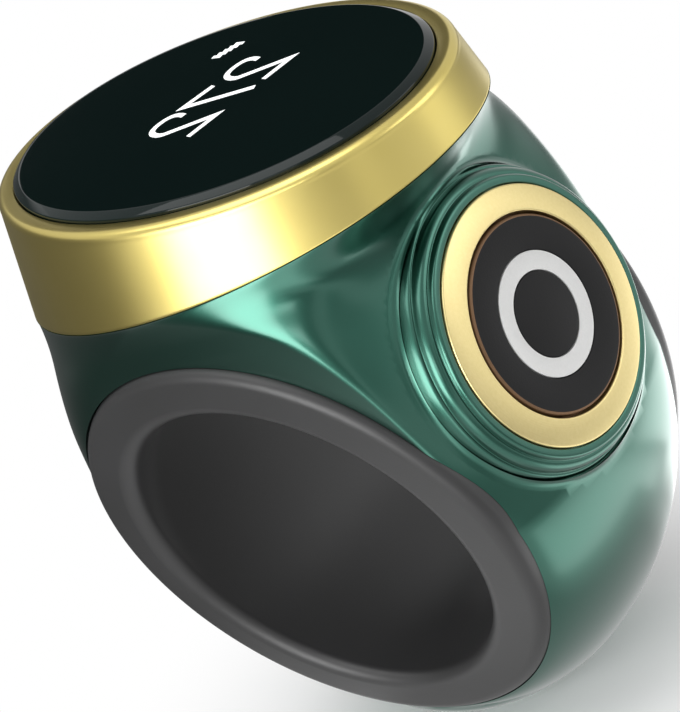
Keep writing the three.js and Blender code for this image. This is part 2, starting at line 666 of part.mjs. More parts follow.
// The button: trim ring, cap, mark, cushion and switch
const trimHole = CAP_RADIUS + CAP_CLEARANCE;
const trimRing = turnedInwards([
  [trimHole, TRIM_BACK], [TRIM_RADIUS, TRIM_BACK], [TRIM_RADIUS, TRIM_SET_BACK + TRIM_CHAMFER],
  [TRIM_RADIUS - TRIM_CHAMFER, TRIM_SET_BACK], [trimHole + TRIM_CHAMFER, TRIM_SET_BACK - TRIM_CROWN],
  [trimHole, TRIM_SET_BACK - TRIM_CROWN + TRIM_CHAMFER],
]);
piece('button_trim_ring', trimRing, 'goldSatin', button);

const grooveDepth = MARK_DEPTH + FIT;
const cap = turnedInwards([
  [0, CAP_BACK], [FLANGE_RADIUS, CAP_BACK], [FLANGE_RADIUS, CAP_FACE_THICKNESS],
  [CAP_RADIUS, CAP_FACE_THICKNESS], [CAP_RADIUS, CAP_EDGE_CHAMFER], [CAP_RADIUS - CAP_EDGE_CHAMFER, 0],
  [MARK_OUTER_RADIUS + FIT, 0], [MARK_OUTER_RADIUS + FIT, grooveDepth],
  [MARK_INNER_RADIUS - FIT, grooveDepth], [MARK_INNER_RADIUS - FIT, 0], [0, 0],
]);
piece('button_cap', cap, 'blackPlastic', button);

const mark = turnedInwards([
  [MARK_INNER_RADIUS, MARK_DEPTH], [MARK_OUTER_RADIUS, MARK_DEPTH],
  [MARK_OUTER_RADIUS, 0], [MARK_INNER_RADIUS, 0],
]);
piece('button_mark', mark, 'whiteInk', button);

const cushionOuter = POCKET_RADIUS - SLIDE;
const cushion = turnedInwards([
  [cushionOuter - CUSHION_WIDTH, SWITCH_BOTTOM], [cushionOuter, SWITCH_BOTTOM],
  [cushionOuter, SWITCH_TOP], [cushionOuter - CUSHION_WIDTH, SWITCH_TOP],
]);
piece('button_cushion', cushion, 'silicone', button);

const plungerBottom = PLUNGER_TOP + PLUNGER_LENGTH;
const plunger = turnedInwards([
  [0, plungerBottom], [PLUNGER_RADIUS, plungerBottom], [PLUNGER_RADIUS, PLUNGER_TOP], [0, PLUNGER_TOP],
], SMALL_POINTS);
piece('switch_plunger', plunger, 'blackPlastic', button);

function makeSwitchBody() {
  const block = new THREE.BoxGeometry(SWITCH_SIDE, SWITCH_HEIGHT, SWITCH_SIDE);
  block.translate(0, -(SWITCH_TOP + SWITCH_BOTTOM) / 2, 0);
  const well = turnedInwards([
    [0, SWITCH_BOTTOM - SWITCH_FLOOR], [PLUNGER_RADIUS + SLIDE, SWITCH_BOTTOM - SWITCH_FLOOR],
    [PLUNGER_RADIUS + SLIDE, SWITCH_TOP - PAST], [0, SWITCH_TOP - PAST],
  ], SMALL_POINTS);
  return toGeometry(toSolid(block).subtract(toSolid(well)));
}

piece('switch_body', makeSwitchBody(), 'steel', button);

const boardRadius = POCKET_RADIUS - 2 * SLIDE;
const switchBoardBottom = SWITCH_BOARD_TOP + SWITCH_BOARD_THICKNESS;
const switchBoard = turnedInwards([
  [0, switchBoardBottom], [boardRadius, switchBoardBottom],
  [boardRadius, SWITCH_BOARD_TOP], [0, SWITCH_BOARD_TOP],
]);
piece('switch_board', switchBoard, 'circuitBoard', button);

// The ribbon from the switch board up to the main board
function makeSwitchFlex() {
  const right = HOUSING_HALF_LONG - SWITCH_FLEX_INSET;
  const left = MOTOR_X + MOTOR_RADIUS - SWITCH_FLEX_LAP;
  const bottom = HOUSING_FLOOR + SWITCH_FLEX_FOOT;
  const top = BOARD_BOTTOM - FIT;
  return ribbon([
    [right, bottom], [right, top], [left, top], [left, top - FLEX_THICKNESS],
    [right - FLEX_THICKNESS, top - FLEX_THICKNESS], [right - FLEX_THICKNESS, bottom],
  ].reverse(), SWITCH_FLEX_WIDE);
}

piece('switch_flex', makeSwitchFlex(), 'flexRibbon');

export default model;
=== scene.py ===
# The dressed model of a digital finger counter: a green metal ring with a gold bezel round an
# oval display, a push button on one side and a soft liner in the finger hole.
import json
import math

import bmesh
import bpy
from mathutils import Matrix, Vector
from mathutils.bvhtree import BVHTree


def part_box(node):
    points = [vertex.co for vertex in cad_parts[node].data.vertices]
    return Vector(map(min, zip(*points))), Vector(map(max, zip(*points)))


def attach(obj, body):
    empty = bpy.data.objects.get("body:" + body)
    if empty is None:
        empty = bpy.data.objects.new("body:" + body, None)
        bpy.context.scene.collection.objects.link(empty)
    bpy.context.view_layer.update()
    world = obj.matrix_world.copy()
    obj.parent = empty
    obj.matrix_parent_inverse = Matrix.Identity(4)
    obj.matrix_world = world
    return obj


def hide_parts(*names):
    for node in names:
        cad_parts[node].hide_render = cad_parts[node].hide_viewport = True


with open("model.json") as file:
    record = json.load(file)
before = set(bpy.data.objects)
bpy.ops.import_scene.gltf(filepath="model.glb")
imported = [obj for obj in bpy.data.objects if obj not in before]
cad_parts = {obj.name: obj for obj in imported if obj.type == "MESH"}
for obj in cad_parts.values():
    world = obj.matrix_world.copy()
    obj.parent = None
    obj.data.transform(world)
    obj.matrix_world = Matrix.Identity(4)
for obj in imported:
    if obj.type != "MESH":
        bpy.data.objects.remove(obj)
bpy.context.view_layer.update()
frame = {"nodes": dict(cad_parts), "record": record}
MILLIMETRE = 0.001

# Sizes in millimetres, as in the solids. The origin is the centre of the finger hole
HOLE_RADIUS = 9.45
LINER_WALL = 1.2
LIP_RADIUS = 12.3
LIP_THICKNESS = 1.15
LIP_CROWN = 0.65
LIP_FALL = 0.18
LIP_ROUND = 0.75
MOUTH_ROUND = 0.8
SIDE_AT_AXIS = 7.93
SIDE_SLOPE = 0.177
BAND_HALF_WIDE = 13.4
BAND_DEPTH = 14.5
BAND_EDGE_DEPTH = 12.3
BAND_SQUARENESS = 0.12
SIDE_FLAT = 11.6
BUTTON_SIDE = [(12.75, 3.2), (11.75, 6.5), (10.8, 10.5), (10.4, 13.7), (11.2, 15.6)]
PLAIN_SIDE = [(13.35, 4), (13.5, 8), (13.75, 11)]
FLAT_CLIMB = 2.2
BUTTON_SIDE_FULLNESS = 0.98
PLAIN_SIDE_FULLNESS = 1.2
BUTTON_SIDE_SQUARENESS = 0.1
PLAIN_SIDE_SQUARENESS = 0.2
HOUSING_FLOOR = 11.6
HOUSING_HALF_LONG = 9.3
HOUSING_HALF_WIDE = 7.7
GLASS_HALF_LONG = 12.03
GLASS_HALF_WIDE = 9.03
GLASS_TOP = 20.4
GLASS_THICKNESS = 1
GLASS_CHAMFER_WIDTH = 0.4
GLASS_CHAMFER_HEIGHT = 0.25
GLASS_CLEARANCE = 0.1
GLASS_PROUD = 0.4
BEZEL_TOP_OUTSET = 1.045
BEZEL_ROUND = 0.45
BEZEL_FLARE = 0.19
RIM_HEIGHT = 15.4
RIM_SLOPE = 0.14
GASKET_THICKNESS = 0.15
GASKET_WIDTH = 0.9
GASKET_INSET = 0.3
BUTTON_X = 13.23
BUTTON_Z = 7.195
BUTTON_TILT = 0.216
CAP_RADIUS = 4.84
CAP_PAINTED_GLINT_WIDTH = 0.13
CAP_FACE_THICKNESS = 0.8
CAP_FLANGE_THICKNESS = 0.3
CAP_FLANGE_WIDTH = 0.75
CAP_CLEARANCE = 0.14
BUTTON_TRAVEL = 0.4
MARK_INNER_RADIUS = 2.12
MARK_OUTER_RADIUS = 3.06
MARK_DEPTH = 0.2
TRIM_RADIUS = 6.35
TRIM_THICKNESS = 0.5
TRIM_SET_BACK = 0.2
TRIM_CROWN = 0.2
BOSS_ROOT = 7
SWITCH_HEIGHT = 0.9
SWITCH_BOARD_THICKNESS = 0.4
CUSHION_WIDTH = 1.2
CHARGE_PIN_RADIUS = 0.45
CHARGE_PIN_SPACING = 2.4
CHARGE_PIN_RISE = 0.8
FIT = 0.05
SEAM = 0.015
SLIDE = 0.1
FUSE = 0.3
PAST = 1

# How finely the pieces are cut up
OVAL_STEPS = 224
TURN_STEPS = 160
BAND_ROWS = 56
SHOULDER_ROWS = 48

BEZEL_TOP = GLASS_TOP - GLASS_PROUD
GLASS_BOTTOM = GLASS_TOP - GLASS_THICKNESS
COLLAR_TOP = GLASS_BOTTOM - GASKET_THICKNESS - 2 * FIT
LINER_RADIUS = HOLE_RADIUS + LINER_WALL
CAP_BACK = CAP_FACE_THICKNESS + CAP_FLANGE_THICKNESS
FLANGE_RADIUS = CAP_RADIUS + CAP_FLANGE_WIDTH
POCKET_RADIUS = FLANGE_RADIUS + CAP_CLEARANCE
SWITCH_TOP = CAP_BACK + BUTTON_TRAVEL + SLIDE
SWITCH_BOTTOM = SWITCH_TOP + SWITCH_HEIGHT
POCKET_FLOOR = SWITCH_BOTTOM + SWITCH_BOARD_THICKNESS + 2 * FIT
TRIM_BACK = TRIM_SET_BACK + TRIM_THICKNESS
CHARGE_PIN_Z = HOUSING_FLOOR + CHARGE_PIN_RISE
CHARGE_PIN_FACE = -PLAIN_SIDE[-1][0]

# The button's own frame: local Z points out of the cap's face
outward = Vector((math.cos(BUTTON_TILT), 0, math.sin(BUTTON_TILT)))
upward = Vector((-math.sin(BUTTON_TILT), 0, math.cos(BUTTON_TILT)))
button_place = Matrix((
    (upward.x, 0, outward.x, BUTTON_X),
    (0, -1, 0, 0),
    (upward.z, 0, outward.z, BUTTON_Z),
    (0, 0, 0, 1),
))


# Camera: a long lens, looking down on the display and the button
FRAME_HIGH_PIXELS = 712
LENS_PIXELS = 3500
CAMERA_PLACE = Vector((112.614, -107.986, 79.449))
CAMERA_RIGHT = Vector((0.7549, 0.5016, -0.4225))
CAMERA_DOWN = Vector((-0.0495, -0.5988, -0.7993))
CAMERA_FORWARD = Vector((-0.6539, 0.6244, -0.4273))


def place_camera():
    lens = bpy.data.cameras.new("view")
    lens.sensor_width = 36
    lens.lens = LENS_PIXELS / FRAME_HIGH_PIXELS * lens.sensor_width
    lens.clip_start = 0.01
    camera = bpy.data.objects.new("view", lens)
    turn = Matrix((CAMERA_RIGHT, -CAMERA_DOWN, -CAMERA_FORWARD)).transposed().to_4x4()
    seat = Matrix.Translation(CAMERA_PLACE * MILLIMETRE)
    camera.matrix_world = seat @ turn
    bpy.context.collection.objects.link(camera)
    bpy.context.scene.camera = camera


# Shader maths in plain Python
class Value:
    def __init__(self, finish, socket):
        self.finish, self.socket = finish, socket

    def maths(self, operation, *others):
        return self.finish.node("Math", {"operation": operation}, dict(enumerate((self, *others))))

    def __add__(self, other):
        return self.maths("ADD", other)

    def __sub__(self, other):
        return self.maths("SUBTRACT", other)

    def __rsub__(self, other):
        return self.finish.node("Math", {"operation": "SUBTRACT"}, {0: other, 1: self})

    def __mul__(self, other):
        return self.maths("MULTIPLY", other)

    def __truediv__(self, other):
        return self.maths("DIVIDE", other)

    def __gt__(self, other):
        return self.maths("GREATER_THAN", other)

    __radd__ = __add__
    __rmul__ = __mul__


class Finish:
    def __init__(self, name):
        self.material = bpy.data.materials.new(name)
        self.material.use_nodes = True
        self.nodes = self.material.node_tree.nodes
        self.links = self.material.node_tree.links
        self.nodes.clear()
        self.place = self.node("TexCoord", {}, {}, "Object")

    def node(self, kind, settings, sockets, output=0):
        made = self.nodes.new("ShaderNode" + kind)
        for key, setting in settings.items():
            setattr(made, key, setting)
        for key, value in sockets.items():
            if isinstance(value, Value):
                self.links.new(value.socket, made.inputs[key])
            else:
                made.inputs[key].default_value = value
        return Value(self, made.outputs[output])

    def noise(self, size, detail=2, rough=0.5):
        sockets = {
            "Vector": self.place,
            "Scale": 1 / (size * MILLIMETRE),
            "Detail": detail,
            "Roughness": rough,
        }
        return self.node("TexNoise", {}, sockets)

    def mix(self, share, first, second):
        first, second = (c if isinstance(c, Value) else (*c, 1) for c in (first, second))
        return self.node("Mix", {"data_type": "RGBA"}, {"Factor": share, 6: first, 7: second}, 2)

    def smooth(self, value, start, end):
        """0 before start and 1 after end, smooth between."""
        sockets = {"Value": value, "From Min": start, "From Max": end}
        return self.node("MapRange", {"interpolation_type": "SMOOTHSTEP"}, sockets)

    def bump(self, height, depth):
        sockets = {"Height": height, "Strength": 1, "Distance": depth * MILLIMETRE}
        return self.node("Bump", {}, sockets)

    def background_rays(self):
        """1 for what the camera sees, directly, reflected or through glass, and else 0."""
        kinds = ("Is Camera Ray", "Is Glossy Ray", "Is Transmission Ray")
        camera, glossy, through = (self.node("LightPath", {}, {}, kind) for kind in kinds)
        return camera.maths("MAXIMUM", glossy).maths("MAXIMUM", through)

    def surface(self, **sockets):
        named = {key.replace("_", " ").title().replace("Ior", "IOR"): value for key, value in sockets.items()}
        shader = self.node("BsdfPrincipled", {}, named)
        end = self.nodes.new("ShaderNodeOutputMaterial")
        self.links.new(shader.socket, end.inputs["Surface"])
        return self.material


def green_lacquer():
    f = Finish("green_lacquer")
    flake = f.noise(0.06, 1)
    cloud = f.noise(4, 2)
    tone = flake * 0.5 + cloud * 0.5
    return f.surface(
        base_color=f.mix(tone, (0.015, 0.1, 0.068), (0.02, 0.12, 0.084)),
        metallic=1.0,
        roughness=0.27 + flake * 0.04,
        normal=f.bump(flake, 0.0005),
        coat_weight=0.9,
        coat_roughness=0.2,
    )


def polished_gold():
    f = Finish("polished_gold")
    grain = f.noise(0.12, 2)
    cloud = f.noise(3, 2)
    return f.surface(
        base_color=f.mix(cloud, (0.65, 0.53, 0.16), (0.7, 0.58, 0.2)),
        metallic=1.0,
        roughness=0.27 + grain * 0.05,
        normal=f.bump(grain, 0.001),
    )


def about_button(f):
    lean = Vector((0, 0, 1)).rotation_difference(outward).to_euler()
    sockets = {"Vector": f.place, "Location": button_place.translation * MILLIMETRE, "Rotation": lean}
    return f.node("Mapping", {"vector_type": "TEXTURE"}, sockets)


def button_radius(f):
    flat = f.node("VectorMath", {"operation": "MULTIPLY"}, {0: about_button(f), 1: (1, 1, 0)})
    return f.node("VectorMath", {"operation": "LENGTH"}, {0: flat}, "Value")


def lathe_lines(f, pitch):
    return (button_radius(f) * (2 * math.pi / (pitch * MILLIMETRE))).maths("SINE") * 0.5 + 0.5


def satin_gold():
    f = Finish("satin_gold")
    lines = lathe_lines(f, 0.11)
    grain = f.noise(0.15, 3)
    return f.surface(
        base_color=f.mix(grain, (0.68, 0.56, 0.25), (0.76, 0.64, 0.32)),
        metallic=1.0,
        roughness=0.34 + grain * 0.08,
        normal=f.bump(lines * 0.6 + grain, 0.002),
    )


def tinted_glass():
    f = Finish("tinted_glass")
    cloud = f.noise(8, 1)
    return f.surface(
        base_color=f.mix(cloud, (0.0035, 0.0095, 0.009), (0.0045, 0.0115, 0.0105)),
        roughness=0.04 + cloud * 0.02,
        specular_ior_level=0.25,
    )


def soft_silicone():
    f = Finish("soft_silicone")
    skin_grain = f.noise(0.09, 3, 0.6)
    cloud = f.noise(5, 2)
    return f.surface(
        base_color=f.mix(cloud, (0.03, 0.03, 0.03), (0.042, 0.042, 0.043)),
        roughness=0.44 + skin_grain * 0.12,
        normal=f.bump(skin_grain, 0.006),
    )


def liner_wear_and_painted_shade():
    """Silicone, polished on the lips by wear, with painted shade: the base colour darkens towards the upper
    part of the finger hole, which is also made rougher there.
    """
    f = Finish("liner_wear_and_painted_shade")
    skin_grain = f.noise(0.09, 3, 0.6)
    cloud = f.noise(5, 2)
    x, y, z = (f.node("SeparateXYZ", {}, {"Vector": f.place}, axis) for axis in "XYZ")
    radius = (x * x + z * z).maths("SQRT")
    # Painted shade: a mask for the upper wall of the finger hole past the lips, darkened in the base colour
    # where shade falls inside the hole.
    high = f.smooth((z * 0.75 - x * 0.55) / radius, -0.3, 0.75)
    lip, depths = SIDE_AT_AXIS + LIP_CROWN, SIDE_AT_AXIS - 1
    inside = f.smooth(y.maths("ABSOLUTE"), lip * MILLIMETRE, depths * MILLIMETRE)
    shade = high * inside
    skin_tone = f.mix(cloud, (0.025, 0.025, 0.025), (0.034, 0.034, 0.035))
    return f.surface(
        base_color=f.mix(shade, skin_tone, (0.003, 0.003, 0.003)),
        roughness=0.36 + skin_grain * 0.1 + shade * 0.3,
        normal=f.bump(skin_grain, 0.004),
    )


def matte_black():
    f = Finish("matte_black")
    grain = f.noise(0.1, 3, 0.6)
    return f.surface(
        base_color=f.mix(grain, (0.026, 0.026, 0.025), (0.036, 0.036, 0.034)),
        roughness=0.5 + grain * 0.15,
        normal=f.bump(grain, 0.008),
    )


def cap_black():
    """Matte black, with a painted glint: a thin metallic bronze line round the cap's bevelled edge, standing
    in for the reflection of the gold ring's inner wall.
    """
    f = Finish("cap_black")
    grain = f.noise(0.1, 3, 0.6)
    # Painted reflection: the outer band of the cap is coloured bronze and made metallic to stand in for the
    # gold ring's reflection.
    edge = button_radius(f) > (CAP_RADIUS - CAP_PAINTED_GLINT_WIDTH) * MILLIMETRE
    face = f.mix(grain, (0.009, 0.009, 0.0095), (0.015, 0.015, 0.0155))
    return f.surface(
        base_color=f.mix(edge, face, (0.2, 0.12, 0.07)),
        metallic=edge * 0.8,
        roughness=0.5 + grain * 0.15,
        normal=f.bump(grain, 0.006),
        specular_ior_level=0.18,
    )


def ring_white():
    f = Finish("ring_white")
    grain = f.noise(0.12, 3, 0.6)
    return f.surface(
        base_color=f.mix(grain, (0.78, 0.78, 0.77), (0.86, 0.86, 0.85)),
        roughness=0.5 + grain * 0.1,
        normal=f.bump(grain, 0.008),
    )


def lit_segments():
    f = Finish("lit_segments")
    dots = f.noise(0.2, 1)
    return f.surface(
        base_color=f.mix(dots, (0.7, 0.72, 0.72), (0.8, 0.8, 0.8)),
        roughness=0.5,
        emission_color=f.mix(dots, (0.86, 0.9, 0.9), (1, 1, 1)),
        emission_strength=0.75,
    )


def speckled(name, dark, light, size=0.3, metallic=0.0, rough=(0.4, 0.1), depth=0.004, **more):
    f = Finish(name)
    grain = f.noise(size, 3, 0.6)
    return f.surface(
        base_color=f.mix(grain, dark, light),
        metallic=metallic,
        roughness=rough[0] + grain * rough[1],
        normal=f.bump(grain, depth),
        **more,
    )


def circuit_lacquer():
    f = Finish("circuit_lacquer")
    cells = f.node("TexVoronoi", {"feature": "DISTANCE_TO_EDGE"}, {"Vector": f.place, "Scale": 900.0})
    track = cells.maths("LESS_THAN", 0.06)
    return f.surface(
        base_color=f.mix(track, (0.01, 0.09, 0.035), (0.03, 0.19, 0.07)),
        roughness=0.42 - track * 0.1,
        normal=f.bump(track, 0.02),
    )


def polyimide():
    f = Finish("polyimide")
    line = f.node("TexWave", {"bands_direction": "Y"}, {"Vector": f.place, "Scale": 600.0})
    return f.surface(
        base_color=f.mix(line, (0.36, 0.12, 0.02), (0.55, 0.2, 0.05)),
        roughness=0.3 + line * 0.1,
        normal=f.bump(line, 0.01),
    )


FINISHES = {
    "green_metal": green_lacquer(),
    "gold_metal": polished_gold(),
    "gold_satin": satin_gold(),
    "dark_glass": tinted_glass(),
    "silicone": soft_silicone(),
    "black_plastic": matte_black(),
    "white_ink": ring_white(),
    "clear_film": speckled("clear_film", (0.62, 0.7, 0.7), (0.72, 0.78, 0.78), 2, rough=(0.08, 0.05)),
    "dark_panel": speckled("dark_panel", (0.006, 0.007, 0.009), (0.01, 0.012, 0.015), 0.5, rough=(0.15, 0.1)),
    "flex_ribbon": polyimide(),
    "circuit_board": circuit_lacquer(),
    "chip_body": speckled("moulded_epoxy", (0.01, 0.01, 0.011), (0.018, 0.018, 0.019), 0.08),
    "steel": speckled("drawn_steel", (0.46, 0.47, 0.48), (0.56, 0.57, 0.58), 0.2, 1.0, (0.26, 0.12)),
    "foil_cell": speckled("foil_pouch", (0.56, 0.57, 0.59), (0.68, 0.69, 0.7), 0.6, 0.7, (0.3, 0.12), 0.02),
    "foam": speckled(
        "closed_foam", (0.045, 0.045, 0.045), (0.085, 0.085, 0.085), 0.25, rough=(0.85, 0.1), depth=0.05,
    ),
}
LIT = lit_segments()
CAP = cap_black()
LINER = liner_wear_and_painted_shade()


# Mesh helpers, all in millimetres
def skin(around, rows, place):
    """A grid wrapped round: place(u, v) gives the point, and the seam in u closes."""
    bm = bmesh.new()
    bmesh.ops.create_grid(bm, x_segments=around, y_segments=rows, size=0.5)
    for v in bm.verts:
        v.co = Vector(place(v.co.x + 0.5, v.co.y + 0.5))
    bmesh.ops.remove_doubles(bm, verts=bm.verts, dist=1e-4)
    return bm


def close_ends(bm):
    open_edges = [e for e in bm.edges if e.is_boundary]
    if open_edges:
        bmesh.ops.holes_fill(bm, edges=open_edges, sides=0)
    bmesh.ops.recalc_face_normals(bm, faces=bm.faces)
    return bm


def turned(profile, steps=TURN_STEPS, closed=True):
    """A profile of (radius, height) spun round local Z."""
    bm = bmesh.new()
    points = [bm.verts.new((r, 0, z)) for r, z in profile]
    pairs = list(zip(points, points[1:]))
    if closed and profile[0][0] > 0:
        pairs.append((points[-1], points[0]))
    lines = [bm.edges.new(pair) for pair in pairs]
    bmesh.ops.spin(
        bm, geom=points + lines, axis=(0, 0, 1), cent=(0, 0, 0), angle=2 * math.pi, steps=steps,
        use_merge=True,
    )
    bmesh.ops.remove_doubles(bm, verts=bm.verts, dist=1e-4)
    bmesh.ops.recalc_face_normals(bm, faces=bm.faces)
    return bm


def inwards(profile):
    return [(r, -depth) for r, depth in profile]


def soften(bm, offset, segments=3, pick=None, angle=30):
    """Rounds the sharp edges, or those that pick chooses by their middle."""
    sharp = []
    for e in bm.edges:
        if len(e.link_faces) == 2 and e.calc_face_angle(0) > math.radians(angle):
            middle = (e.verts[0].co + e.verts[1].co) / 2
            if pick is None or pick(middle):
                sharp.append(e)
    bmesh.ops.bevel(
        bm, geom=sharp, offset=offset, segments=segments, profile=0.5, affect="EDGES", material=-1,
        clamp_overlap=True,
    )
    return bm


def at_button(bm):
    bm.transform(button_place)
    return bm


def oval(half_long, half_wide, bottom, top, steps=OVAL_STEPS):
    bm = bmesh.new()
    bmesh.ops.create_cone(bm, cap_ends=True, segments=steps, radius1=1, radius2=1, depth=top - bottom)
    bmesh.ops.scale(bm, vec=(half_long, half_wide, 1), verts=bm.verts)
    bmesh.ops.translate(bm, vec=(0, 0, (bottom + top) / 2), verts=bm.verts)
    return bm


def rod(radius, start, end, steps=32):
    start, end = Vector(start), Vector(end)
    bm = bmesh.new()
    bmesh.ops.create_cone(
        bm, cap_ends=True, segments=steps, radius1=radius, radius2=radius, depth=(end - start).length,
    )
    turn = Vector((0, 0, 1)).rotation_difference(end - start).to_matrix().to_4x4()
    bm.transform(Matrix.Translation((start + end) / 2) @ turn)
    return bm


def shelf(bm, name):
    mesh = bpy.data.meshes.new(name)
    bm.to_mesh(mesh)
    bm.free()
    thing = bpy.data.objects.new(name, mesh)
    bpy.context.collection.objects.link(thing)
    return thing


def settle(thing, helpers=()):
    """The mesh of an object with its modifiers applied, as a bmesh; the objects are removed."""
    bpy.context.view_layer.update()
    view = thing.evaluated_get(bpy.context.evaluated_depsgraph_get())
    bm = bmesh.new()
    bm.from_mesh(view.to_mesh())
    view.to_mesh_clear()
    for old in (thing, *helpers):
        mesh = old.data
        bpy.data.objects.remove(old)
        bpy.data.meshes.remove(mesh)
    return bm


def carve(bm, *cuts):
    """Adds or cuts closed shapes: each cut is an operation and its bmesh."""
    thing = shelf(bm, "work")
    helpers = []
    for operation, cutter in cuts:
        helper = shelf(cutter, "cutter")
        helpers.append(helper)
        step = thing.modifiers.new("cut", "BOOLEAN")
        step.operation, step.object, step.solver = operation, helper, "MANIFOLD"
    return settle(thing, helpers)


def finished(bm, name, slot, body, *nodes, finish=None, crease=32):
    """Turns a bmesh into the finished piece, in metres, riding on its body."""
    bm.transform(Matrix.Scale(MILLIMETRE, 4))
    limit = math.radians(crease)
    for f in bm.faces:
        f.smooth = True
    for e in bm.edges:
        e.smooth = len(e.link_faces) == 2 and e.calc_face_angle(0) < limit
    piece = shelf(bm, name)
    piece.data.materials.append(finish or FINISHES[slot])
    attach(piece, body)
    if nodes:
        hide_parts(*nodes)
    return piece


# Laws of the outside shape
def side_width(z):
    return SIDE_AT_AXIS + SIDE_SLOPE * z


def bezel_outset(z):
    return BEZEL_TOP_OUTSET + (BEZEL_TOP - BEZEL_ROUND - z) * BEZEL_FLARE


def rim_point(angle, rise):
    """A point on the bezel's flared outside, at a height over its sloping lower edge."""
    lean = BEZEL_FLARE * RIM_SLOPE * math.cos(angle)
    reach = GLASS_HALF_LONG + bezel_outset(RIM_HEIGHT + rise)
    x = reach * math.cos(angle) / (1 + lean)
    z = RIM_HEIGHT + RIM_SLOPE * x + rise
    return Vector((x, (GLASS_HALF_WIDE + bezel_outset(z)) * math.sin(angle), z))


def curve_at(points, share):
    """A smooth curve through points."""
    last = len(points) - 1
    place = last * share
    i = min(int(place), last - 1)
    t = place - i
    p0, p1, p2, p3 = (Vector(points[max(0, min(last, i + k))]) for k in (-1, 0, 1, 2))
    v0, v1 = (p2 - p0) / 2, (p3 - p1) / 2
    return (2 * p1 - 2 * p2 + v0 + v1) * t ** 3 + (-3 * p1 + 3 * p2 - 2 * v0 - v1) * t ** 2 + v0 * t + p1


def section_point(angle, button_end, button_flat, plain_end, plain_flat, half_wide, climb):
    slope = (button_end.y - plain_end.y) / max(1e-9, button_end.x + plain_end.x)
    middle = button_end.y - slope * button_end.x
    along, across = math.cos(angle), math.sin(angle)
    end, flat, square = (
        (button_end.x, button_flat, BUTTON_SIDE_SQUARENESS) if along > 0
        else (plain_end.x, plain_flat, PLAIN_SIDE_SQUARENESS)
    )
    bend = 2 / (2 + square * (1 - climb))
    x = math.copysign(flat + abs(along) ** bend * (end - flat), along)
    y = math.copysign(half_wide * abs(across) ** bend, across)
    return Vector((x, y, middle + slope * x))


def band_point(angle, share):
    turn = share * math.pi / 2
    bend = 2 / (2 + BAND_SQUARENESS)
    z = -BAND_DEPTH * math.cos(turn) ** bend
    end = Vector((BAND_HALF_WIDE * math.sin(turn) ** bend, z))
    below = max(0, -z - BAND_EDGE_DEPTH) / (BAND_DEPTH - BAND_EDGE_DEPTH)
    flat = SIDE_FLAT * math.sqrt(max(0, 1 - (z / BAND_EDGE_DEPTH) ** 2))
    return section_point(angle, end, flat, end, flat, side_width(z) * math.sqrt(max(0, 1 - below ** 2)), 0)


rim_button, rim_plain = rim_point(0, 0), rim_point(math.pi, 0)
BUTTON_CURVE = [(BAND_HALF_WIDE, 0), *BUTTON_SIDE, (rim_button.x, rim_button.z)]
PLAIN_CURVE = [(BAND_HALF_WIDE, 0), *PLAIN_SIDE, (-rim_plain.x, rim_plain.z)]


def shoulder_point(angle, climb):
    button_end, plain_end = curve_at(BUTTON_CURVE, climb), curve_at(PLAIN_CURVE, climb)
    half_wide = side_width((button_end.y + plain_end.y) / 2)
    left = 1 - climb ** FLAT_CLIMB
    point = section_point(
        angle, button_end, SIDE_FLAT * left ** BUTTON_SIDE_FULLNESS,
        plain_end, SIDE_FLAT * left ** PLAIN_SIDE_FULLNESS, half_wide, climb,
    )
    near = max(0, (climb - 0.8) / 0.2)
    return point.lerp(rim_point(angle, 0), near * near * (3 - 2 * near))


# The shell: the skin of the body, with the button's boss raised out of it in rings
BODY_ROWS = BAND_ROWS + SHOULDER_ROWS
BOSS_RIM_DEPTH = 0.3
BEAD_START = 6.88
BEAD_END = 7.69
BOSS_FOOT = [
    (7.71, -0.26), (7.76, -0.16), (7.84, -0.08), (7.96, -0.03),
    (8.1, -0.005), (8.26, 0.03), (8.3, 0.5),
]
BOSS_STEPS = 320
POCKET_EASE = 0.06


def body_point(u, v):
    angle, row = u * 2 * math.pi, v * BODY_ROWS
    if row <= BAND_ROWS:
        return band_point(angle, row / BAND_ROWS)
    return shoulder_point(angle, (row - BAND_ROWS) / SHOULDER_ROWS)


def quarter(start, end, steps=5, hollow=False):
    """A quarter round between two (radius, depth) points: outwards first, or inwards first if hollow."""
    points = []
    for i in range(steps + 1):
        turn = i / steps * math.pi / 2
        out, down = (1 - math.cos(turn), math.sin(turn)) if hollow else (math.sin(turn), 1 - math.cos(turn))
        points.append((start[0] + (end[0] - start[0]) * out, start[1] + (end[1] - start[1]) * down))
    return points


def soft_least(a, b, reach):
    share = max(0, min(1, 0.5 + 0.5 * (b - a) / reach))
    return b * (1 - share) + a * share - reach * share * (1 - share)


def boss_rings():
    """Rings of the rim and the two beads, from the middle outwards."""
    rings = [(0, BOSS_RIM_DEPTH), (6.6, BOSS_RIM_DEPTH), *quarter((6.7, BOSS_RIM_DEPTH), (6.86, 0.5), 6)]
    rings += quarter((BEAD_START, 0.6), (6.92, 0.63), 3, hollow=True)
    rings += quarter((6.97, 0.62), (7.36, 1.1), 9)
    rings += quarter((7.37, 1.2), (7.41, 1.24), 3, hollow=True)
    rings += quarter((7.45, 1.23), (BEAD_END, 2.1), 9)
    return rings


